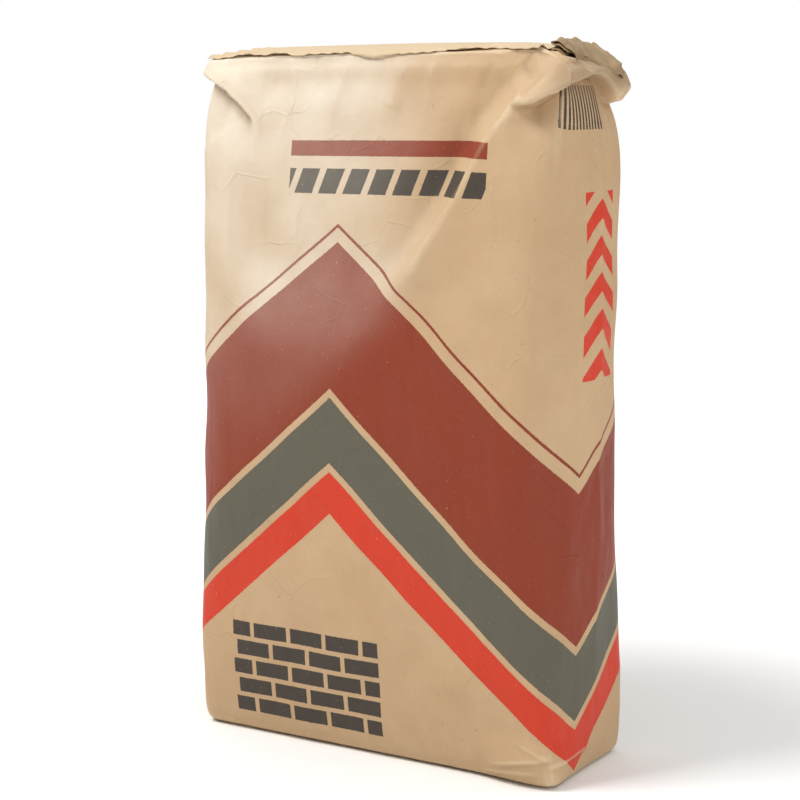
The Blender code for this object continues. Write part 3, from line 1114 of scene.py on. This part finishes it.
def add_node(material, kind, inputs=None, output=0, **settings):
    """Adds a node and returns an output. inputs fills its sockets; settings are its own."""
    tree = material.node_tree
    node = tree.nodes.new(kind)
    for name, value in settings.items():
        setattr(node, name, value)
    for name, value in (inputs or {}).items():
        if isinstance(value, bpy.types.NodeSocket):
            tree.links.new(value, node.inputs[name])
        else:
            node.inputs[name].default_value = value
    return node.outputs[output]


def new_material(name, roughness):
    material = bpy.data.materials.new(name)
    material.use_nodes = True
    shader = material.node_tree.nodes["Principled BSDF"]
    shader.inputs["Roughness"].default_value = roughness
    shader.inputs["IOR"].default_value = 1.5
    return material, shader


def stain(material, base, value, start, full, most, tint):
    """Lays a tint over the base where the value goes from start to full, at most so much."""
    inputs = {"Value": value, 1: start, 2: full, 3: 0.0, 4: most}
    share = add_node(material, "ShaderNodeMapRange", inputs)
    inputs = {0: share, 6: base, 7: colour(tint)}
    return add_node(material, "ShaderNodeMix", inputs, 2, data_type="RGBA")


print("white paper would be", colour("#ffffff"), "and mid grey", round(colour("#808080")[0], 3))

# %% [markdown]
# ## The bare paper
#
# Sack kraft is unbleached wood pulp, made on a machine that leaves it slightly creped so
# that it can stretch. Held to the light it is cloudy, with darker fibres here and there,
# and its skin is dull. A noise texture gives the clouds, a stretched one the fibres, and
# a sparse one the few specks of dirt a sack picks up in the yard.
#
# Handled paper is never flat either. The bump has four layers: the soft upright pleats
# that a filled sack gets as it settles, a small crumple, a net of sharp creases that
# shows in some places only, and the crepe.
#
# Every size is written in millimetres, as one would measure it on the paper, and a
# texture's scale is how many of them go into a metre.

# %% Colour the bare paper
PAPER_CREAM, PAPER_BROWN, FIBRE_BROWN = "#c5a681", "#bb9a74", "#a5855a"
# The dark brown colours specks of dirt, painted shade in folds, and the grime and painted shade by
# the valve.
RUBBED_PAPER, GRIME_AND_SHADE_BROWN = "#e3d0ae", "#94795a"
METRE = 1000  # in millimetres, as all of these sizes are
CLOUD_SIZE = 90
FIBRE_THICKNESS, FIBRE_LENGTH = 1.1, 6.2  # real ones are 0.03 mm thick, too fine to be seen
SPECK_SIZE = 7


def paper_colour(material, place, fold):
    """Bare kraft: clouds, fibres, specks, pale rubbed folds, and painted shade where folds go in.
    """
    inputs = {"Vector": place, "Scale": METRE / CLOUD_SIZE, "Detail": 7, "Roughness": 0.62}
    clouds = add_node(material, "ShaderNodeTexNoise", inputs)
    base = stain(material, colour(PAPER_CREAM), clouds, 0.30, 0.70, 1.0, PAPER_BROWN)
    across, along = METRE / FIBRE_THICKNESS, METRE / FIBRE_LENGTH
    inputs = {"Vector": place, "Scale": (across, along, across)}
    streaky = add_node(material, "ShaderNodeMapping", inputs)
    inputs = {"Vector": streaky, "Scale": 1, "Detail": 3}
    fibres = add_node(material, "ShaderNodeTexNoise", inputs)
    base = stain(material, base, fibres, 0.60, 0.80, 0.30, FIBRE_BROWN)
    inputs = {"Vector": place, "Scale": METRE / SPECK_SIZE, "Detail": 2}
    specks = add_node(material, "ShaderNodeTexNoise", inputs)
    base = stain(material, base, specks, 0.70, 0.76, 0.35, GRIME_AND_SHADE_BROWN)
    base = stain(material, base, fold, 0.25, 0.80, 0.35, RUBBED_PAPER)
    # painted shade where the paper folds in
    return stain(material, base, fold, -0.15, -0.80, 0.35, GRIME_AND_SHADE_BROWN)


print("clouds of", CLOUD_SIZE, "mm and fibres of", FIBRE_LENGTH, "mm")

# %% Crumple the bare paper
PLEAT_WIDTH, PLEAT_LENGTH = 18, 55
CRUMPLE_SIZE = 17
CREASE_BEND_SIZE, CREASE_SPACING, CREASED_AREA = 70, 38, 60
CREPE_SIZE = 2  # real crepe is nearer 0.5 mm, finer than a pixel of the picture


def paper_bump(material, shader, place):
    """Pleats, crumple, creases and crepe, each bump laid over the one before."""
    across, along = METRE / PLEAT_WIDTH, METRE / PLEAT_LENGTH
    inputs = {"Vector": place, "Scale": (across, along, across)}
    upright = add_node(material, "ShaderNodeMapping", inputs)
    inputs = {"Vector": upright, "Scale": 1, "Detail": 1}
    pleats = add_node(material, "ShaderNodeTexNoise", inputs)
    inputs = {"Vector": place, "Scale": METRE / CRUMPLE_SIZE, "Detail": 4, "Roughness": 0.6}
    crumple = add_node(material, "ShaderNodeTexNoise", inputs)
    inputs = {"Vector": place, "Scale": METRE / CREPE_SIZE, "Detail": 3}
    crepe = add_node(material, "ShaderNodeTexNoise", inputs)

    # the net of creases: bent lines between cells, kept in some areas only
    inputs = {"Vector": place, "Scale": METRE / CREASE_BEND_SIZE, "Detail": 2}
    bend = add_node(material, "ShaderNodeTexNoise", inputs, "Color")
    inputs = {0: bend, 1: (0.05, 0.05, 0.05), 2: place}
    bent = add_node(material, "ShaderNodeVectorMath", inputs, operation="MULTIPLY_ADD")
    inputs = {"Vector": bent, "Scale": METRE / CREASE_SPACING}
    edge = add_node(material, "ShaderNodeTexVoronoi", inputs, feature="DISTANCE_TO_EDGE")
    inputs = {"Value": edge, 1: 0.0, 2: 0.05, 3: 1.0, 4: 0.0}
    line = add_node(material, "ShaderNodeMapRange", inputs, interpolation_type="SMOOTHSTEP")
    inputs = {"Vector": place, "Scale": METRE / CREASED_AREA, "Detail": 1}
    area = add_node(material, "ShaderNodeTexNoise", inputs)
    area = add_node(material, "ShaderNodeMapRange", {"Value": area, 1: 0.50, 2: 0.62})
    creases = add_node(material, "ShaderNodeMath", {0: line, 1: area}, operation="MULTIPLY")

    layers = (
        # height, strength, depth in metres
        (pleats, 0.9, 0.0035),
        (crumple, 0.5, 0.0015),
        (creases, 0.6, 0.0006),
        (crepe, 0.25, 0.0004),
    )
    under = {}
    for height, strength, depth in layers:
        inputs = {"Height": height, "Strength": strength, "Distance": depth, **under}
        under = {"Normal": add_node(material, "ShaderNodeBump", inputs)}
    material.node_tree.links.new(under["Normal"], shader.inputs["Normal"])


print("pleats of", PLEAT_LENGTH, "mm and crepe of", CREPE_SIZE, "mm")

# %% [markdown]
# ## The print
#
# The printed design is a plain one of broad zigzag bands. On the tube each long wall has
# one peak, and the valleys fall on the narrow walls, so the bands close round the sack.
# A triangle wave of the place round the tube gives the zigzag, and each band is a range
# of heights above it. Below the bands a patch of bricks is printed, above them a bar and
# a row of blocks, and on the narrow walls a ladder of arrowheads and a block of bars.
#
# An image would blur close up, so all of it is worked out in metres on the flat sheet.
# Some nodes measure the sheet: round the tube, up, across from a long wall's middle, and
# so on. A motif is then a row in a table: its ink, and two limits for each measure that
# bounds it.

# %% Design the print
INK_RED, INK_GREEN, INK_ORANGE, INK_GREY = "#842a10", "#565549", "#cb3016", "#36312d"
ZIGZAG_SLOPE, ZIGZAG_PEAK = 0.85, -0.030
QUARTER_GIRTH = GIRTH / 4
BRICK = {
    "Scale": 1, "Brick Width": 0.040, "Row Height": 0.0185,
    "Mortar Size": 0.0022, "Mortar Smooth": 0,
}
REPEATS = (
    # name, a measure and its slope, the measure it is added to, length of one repeat
    ("in_block", "up", -0.35, "across", 0.026),
    ("in_arrow", "from_side", 0.9, "up", 0.036),
    ("in_stripe", "up", 0.0, "round", 0.0061),
)
PRINT_UP, BAR_ACROSS = (0.0, 0.652), (-0.085, 0.125)
MOTIFS = (
    # ink, and two limits for each measure; mortar is 0 on a brick and 1 beside it
    (INK_RED, {"above_zigzag": (0.335, 0.470), "up": PRINT_UP}),
    (INK_GREEN, {"above_zigzag": (0.268, 0.327), "up": PRINT_UP}),
    (INK_ORANGE, {"above_zigzag": (0.222, 0.260), "up": PRINT_UP}),
    (INK_RED, {"above_zigzag": (0.484, 0.4875), "up": PRINT_UP}),
    (INK_GREY, {"mortar": (-0.5, 0.5), "across": (-0.142, 0.018), "up": (0.0195, 0.1090)}),
    (INK_RED, {"across": BAR_ACROSS, "up": (0.552, 0.567)}),
    (INK_GREY, {"across": BAR_ACROSS, "up": (0.516, 0.540), "in_block": (0.0, 0.019)}),
    (INK_ORANGE, {"from_side": (-0.001, 0.026), "up": (0.352, 0.530), "in_arrow": (0.0, 0.019)}),
    (INK_GREY, {"round": (0.1835, 0.2625), "up": (0.590, 0.632), "in_stripe": (0.0, 0.0032)}),
)
print("print:", len(MOTIFS), "motifs")

# %% Measure the flat sheet in nodes
WAVER_SIZE, WAVER_REACH = 1.4, 0.0012


def printed_sheet(material):
    """Places on the flat sheet in metres, with the slight waver of an ink's edge."""
    sheet = add_node(material, "ShaderNodeUVMap", uv_map="sheet")
    span = (SHEET_SPAN, SHEET_SPAN, 1)
    inputs = {"Vector": sheet, "Scale": span, "Location": (-SHEET_LEFT, 0, 0)}
    place = add_node(material, "ShaderNodeMapping", inputs)
    inputs = {"Vector": place, "Scale": METRE / WAVER_SIZE}
    waver = add_node(material, "ShaderNodeTexNoise", inputs, "Color")
    inputs = {0: waver, 1: (0.5, 0.5, 0.5)}
    shift = add_node(material, "ShaderNodeVectorMath", inputs, operation="SUBTRACT")
    inputs = {0: shift, 1: (WAVER_REACH,) * 3, 2: place}
    return place, add_node(material, "ShaderNodeVectorMath", inputs, operation="MULTIPLY_ADD")


def measure_sheet(material, place):
    """The measures that bound the motifs, as sockets: mortar is a mask, the rest metres."""
    s = add_node(material, "ShaderNodeSeparateXYZ", {0: place}, "X")
    z = add_node(material, "ShaderNodeSeparateXYZ", {0: place}, "Y")
    shifted = add_node(material, "ShaderNodeMath", {0: s, 1: ZIGZAG_PEAK}, operation="SUBTRACT")
    inputs = {0: shifted, 1: QUARTER_GIRTH}
    wave = add_node(material, "ShaderNodeMath", inputs, operation="PINGPONG")
    inputs = {0: wave, 1: ZIGZAG_SLOPE, 2: z}
    above_zigzag = add_node(material, "ShaderNodeMath", inputs, operation="MULTIPLY_ADD")

    # across starts at the middle of the nearer long wall, from_side at a narrow wall's
    inputs = {0: s, 1: QUARTER_GIRTH, 2: -QUARTER_GIRTH}
    across = add_node(material, "ShaderNodeMath", inputs, operation="WRAP")
    sideways = add_node(material, "ShaderNodeMath", {0: across}, operation="ABSOLUTE")
    inputs = {0: QUARTER_GIRTH, 1: sideways}
    from_side = add_node(material, "ShaderNodeMath", inputs, operation="SUBTRACT")
    wall_place = add_node(material, "ShaderNodeCombineXYZ", {0: across, 1: z})
    mortar = add_node(material, "ShaderNodeTexBrick", {"Vector": wall_place, **BRICK}, "Fac")
    measures = {
        "round": s, "up": z, "above_zigzag": above_zigzag,
        "across": across, "from_side": from_side, "mortar": mortar,
    }
    for name, first, slope, second, length in REPEATS:
        inputs = {0: measures[first], 1: slope, 2: measures[second]}
        slanted = add_node(material, "ShaderNodeMath", inputs, operation="MULTIPLY_ADD")
        inputs = {0: slanted, 1: length, 2: 0.0}
        measures[name] = add_node(material, "ShaderNodeMath", inputs, operation="WRAP")
    return measures


print("rows repeat every", [round(length * METRE, 1) for *_, length in REPEATS], "mm")

# %% [markdown]
# ## Ink, dust and painted sheen on the paper
#
# The ink is a thin skin over rough paper, so it misses tiny pits and rubs off sharp
# folds. A pale film lies over everything, thickest where the paper leans back or faces the
# light high on the left: partly cement dust, partly painted sheen. Less of it is laid on
# the smoother ink.

# %% Lay ink, and dust with painted sheen, over a colour
# colour of the pale veil: cement dust, and painted sheen
DUST_AND_SHEEN_PALE = "#e9e1d1"
INK_DUST_SHEEN = 0.28  # the share of the dust and painted sheen that is laid on ink
DUST_SHEEN_CLOUD_SIZE = 50


def print_inks(material, place, base, cover):
    """Lays every motif over the base colour; returns the colour and the ink's mask."""
    measures = measure_sheet(material, place)
    inked = 0.0
    for ink, limits in MOTIFS:
        share = cover
        for name, (low, high) in limits.items():
            inputs = {0: measures[name], 1: (low + high) / 2, 2: (high - low) / 2}
            within = add_node(material, "ShaderNodeMath", inputs, operation="COMPARE")
            inputs = {0: share, 1: within}
            share = add_node(material, "ShaderNodeMath", inputs, operation="MULTIPLY")
        inputs = {0: share, 6: base, 7: colour(ink)}
        base = add_node(material, "ShaderNodeMix", inputs, 2, data_type="RGBA")
        inked = add_node(material, "ShaderNodeMath", {0: inked, 1: share}, operation="MAXIMUM")
    return base, inked


def dust_and_sheen_over(material, place, base, inked):
    """A cloudy pale film of cement powder with painted sheen, as thick as the sheet's mask for them
    says.
    """
    inputs = {"Vector": place, "Scale": METRE / DUST_SHEEN_CLOUD_SIZE, "Detail": 6, "Roughness": 0.65}
    veil = add_node(material, "ShaderNodeTexNoise", inputs)
    inputs = {"Value": veil, 1: 0.25, 2: 0.75, 3: 0.50, 4: 0.78}
    veil = add_node(material, "ShaderNodeMapRange", inputs)
    veiled = add_node(material, "ShaderNodeAttribute", output="Fac", attribute_name="dust_and_sheen")
    veil = add_node(material, "ShaderNodeMath", {0: veil, 1: veiled}, operation="MULTIPLY")
    inputs = {"Value": inked, 1: 0.0, 2: 1.0, 3: 1.0, 4: INK_DUST_SHEEN}
    veil_share = add_node(material, "ShaderNodeMapRange", inputs)
    veil = add_node(material, "ShaderNodeMath", {0: veil, 1: veil_share}, operation="MULTIPLY")
    inputs = {0: veil, 6: base, 7: colour(DUST_AND_SHEEN_PALE)}
    return add_node(material, "ShaderNodeMix", inputs, 2, data_type="RGBA")


print("dust lies in clouds of", DUST_SHEEN_CLOUD_SIZE, "mm, and ink keeps", INK_DUST_SHEEN, "of it")

# %% Make the printed paper
INK_COVER = 0.96
PAPER_ROUGHNESS, INK_ROUGHNESS = 0.62, 0.55
PIT_SIZE = 2.4  # pits are finer still, but smaller ones would not be seen


def make_printed_kraft():
    # Dull sack kraft with flexographic inks: the bands read as print, not as paint,
    # because their shine is nearly the paper's own and the creases go on under them.
    material, shader = new_material("sack_kraft_flexo_printed", 0.5)
    place, wavered = printed_sheet(material)
    fold = add_node(material, "ShaderNodeAttribute", output="Fac", attribute_name="fold")
    base = paper_colour(material, place, fold)
    inputs = {"Vector": place, "Scale": METRE / PIT_SIZE, "Detail": 4}
    pits = add_node(material, "ShaderNodeTexNoise", inputs)
    inputs = {"Value": pits, 1: 0.66, 2: 0.76, 3: 0.0, 4: 0.5}
    missed = add_node(material, "ShaderNodeMapRange", inputs)
    inputs = {"Value": fold, 1: 0.40, 2: 0.90, 3: 0.0, 4: 0.6}
    worn = add_node(material, "ShaderNodeMapRange", inputs)
    lost = add_node(material, "ShaderNodeMath", {0: missed, 1: worn}, operation="MAXIMUM")
    cover = add_node(material, "ShaderNodeMath", {0: INK_COVER, 1: lost}, operation="SUBTRACT")
    base, inked = print_inks(material, wavered, base, cover)
    # grime and painted shade darken the corner by the valve
    soiled_and_shaded = add_node(material, "ShaderNodeAttribute", output="Fac", attribute_name="soiled_and_shaded")
    base = stain(material, base, soiled_and_shaded, 0.0, 1.0, 0.6, GRIME_AND_SHADE_BROWN)
    # dust, with painted sheen where the paper leans back or faces the light on the left
    base = dust_and_sheen_over(material, place, base, inked)
    inputs = {"Value": inked, 1: 0.0, 2: 1.0, 3: PAPER_ROUGHNESS, 4: INK_ROUGHNESS}
    gloss = add_node(material, "ShaderNodeMapRange", inputs)
    links = material.node_tree.links
    links.new(base, shader.inputs["Base Color"])
    links.new(gloss, shader.inputs["Roughness"])
    shader.inputs["Specular IOR Level"].default_value = 0.3
    paper_bump(material, shader, place)
    return material


printed_kraft = make_printed_kraft()
print("printed kraft:", len(printed_kraft.node_tree.nodes), "nodes")

# %% [markdown]
# ## The other papers and the powder
#
# The cover sheets and the sleeve are the same kind of paper without print, each with its
# own tint: the top sheet is pale with dust, the bottom one and the sleeve are darker.
# The powder is grey and has no shine at all, which is what tells it from stone.

# %% Make the other papers and the powder
GRAIN_SIZE = 1.1  # cement is far finer; grains this size only keep the grey from looking flat
POWDER_DARK, POWDER_PALE = "#8a8985", "#a3a29d"


def make_plain_kraft(name, tint, share):
    """Unprinted paper, tinted towards another colour. Dull, so folds show by shade alone."""
    material, shader = new_material(name, 0.6)
    place = add_node(material, "ShaderNodeTexCoord", output="Object")
    base = paper_colour(material, place, 0.0)
    inputs = {0: share, 6: base, 7: colour(tint)}
    tinted = add_node(material, "ShaderNodeMix", inputs, 2, data_type="RGBA")
    material.node_tree.links.new(tinted, shader.inputs["Base Color"])
    paper_bump(material, shader, place)
    return material


def make_powder():
    # Loose grey powder: fully rough, so that no highlight ever shows.
    material, shader = new_material("portland_cement_powder", 0.95)
    place = add_node(material, "ShaderNodeTexCoord", output="Object")
    inputs = {"Vector": place, "Scale": METRE / GRAIN_SIZE, "Detail": 3}
    grains = add_node(material, "ShaderNodeTexNoise", inputs)
    base = stain(material, colour(POWDER_DARK), grains, 0.0, 1.0, 1.0, POWDER_PALE)
    material.node_tree.links.new(base, shader.inputs["Base Color"])
    return material


for piece, material in (
    (sack, printed_kraft),
    (top_sheet, make_plain_kraft("cover_sheet_kraft", "#c8b491", 0.6)),
    (bottom_sheet, make_plain_kraft("bottom_sheet_kraft", "#b79c74", 0.5)),
    (sleeve, make_plain_kraft("valve_sleeve_kraft", "#8a7351", 0.8)),
    (filling, make_powder()),
):
    piece.data.materials.clear()
    piece.data.materials.append(material)
    print(piece.name, "is made of", material.name)

# %% [markdown]
# ## Putting the pieces in the model's place
#
# Each finished piece takes the place of one plain solid.

# %% Dress the frame
for piece, node, slot in (
    (sack, "paper_sack", "kraft_paper"),
    (filling, "cement_fill", "cement_powder"),
    (bottom_sheet, "bottom_cover_patch", "patch_paper"),
    (top_sheet, "top_cover_patch", "patch_paper"),
    (sleeve, "valve_sleeve", "valve_paper"),
):
    for face in piece.data.polygons:
        face.use_smooth = True
    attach(piece, "root")
    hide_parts(node)

# %% [markdown]
# ## Floor and light
#
# The photo is a cut-out look: a soft light high on the left, a weaker one from the right
# that keeps the narrow wall from going dark, and light from all over the ceiling. The
# backdrop and the far floor are pure white. The floor gets there by glowing more and
# more with distance, so that it meets the backdrop without a line, while near the sack
# it stays a plain pale floor that takes a soft shadow.

# %% Lay the floor
FLOOR_PAINT = "#f4f4f2"
FLOOR_SIZE = 4
GLOW_FROM, GLOW_FULL, FLOOR_GLOW = 0.35, 1.4, 0.6


def add_floor():
    bpy.ops.mesh.primitive_plane_add(size=FLOOR_SIZE, location=(0, 0, 0))
    floor = bpy.context.object
    floor.name = "studio_floor"
    # Matt wall paint: it takes a soft shadow and mirrors nothing.
    material, shader = new_material("studio_floor_paint", 0.8)
    shader.inputs["Base Color"].default_value = colour(FLOOR_PAINT)
    shader.inputs["Emission Color"].default_value = (1, 1, 1, 1)
    place = add_node(material, "ShaderNodeTexCoord", output="Object")
    distance = add_node(material, "ShaderNodeVectorMath", {0: place}, "Value", operation="LENGTH")
    inputs = {"Value": distance, 1: GLOW_FROM, 2: GLOW_FULL, 3: 0.0, 4: FLOOR_GLOW}
    glow = add_node(material, "ShaderNodeMapRange", inputs)
    material.node_tree.links.new(glow, shader.inputs["Emission Strength"])
    floor.data.materials.append(material)


add_floor()
print("floor:", FLOOR_SIZE, "m across")

# %% Light the studio
ROOM_LIGHT, BACKDROP_LIGHT = 0.20, 1.0
LIGHT_AIM = Vector((0, 0, 0.35))
LIGHTS = (
    # name, place, size across in metres, watts
    ("window_light", (-0.95, -1.10, 2.50), 0.9, 51),
    ("side_light", (2.3, -0.9, 1.0), 1.4, 17),
    ("ceiling_light", (0, 0.8, 4.0), 10.0, 270),
)


def add_soft_light(name, place, size, watts):
    data = bpy.data.lights.new(name, "AREA")
    data.size = size
    data.energy = watts
    light = bpy.data.objects.new(name, data)
    bpy.context.scene.collection.objects.link(light)
    light.location = place
    aim = LIGHT_AIM - Vector(place)
    light.rotation_euler = aim.to_track_quat("-Z", "Y").to_euler()


def add_white_room():
    """A white backdrop that lights the part with only a share of its own brightness."""
    world = bpy.data.worlds.new("white_room")
    bpy.context.scene.world = world
    world.use_nodes = True
    background = world.node_tree.nodes["Background"]
    background.inputs["Color"].default_value = (1, 1, 1, 1)
    seen = add_node(world, "ShaderNodeLightPath", output="Is Camera Ray")
    inputs = {"Value": seen, "To Min": ROOM_LIGHT, "To Max": BACKDROP_LIGHT}
    level = add_node(world, "ShaderNodeMapRange", inputs)
    world.node_tree.links.new(level, background.inputs["Strength"])


for light in LIGHTS:
    add_soft_light(*light)
add_white_room()
bpy.context.scene.view_settings.view_transform = "Standard"
print("lights:", [light.name for light in bpy.data.lights])
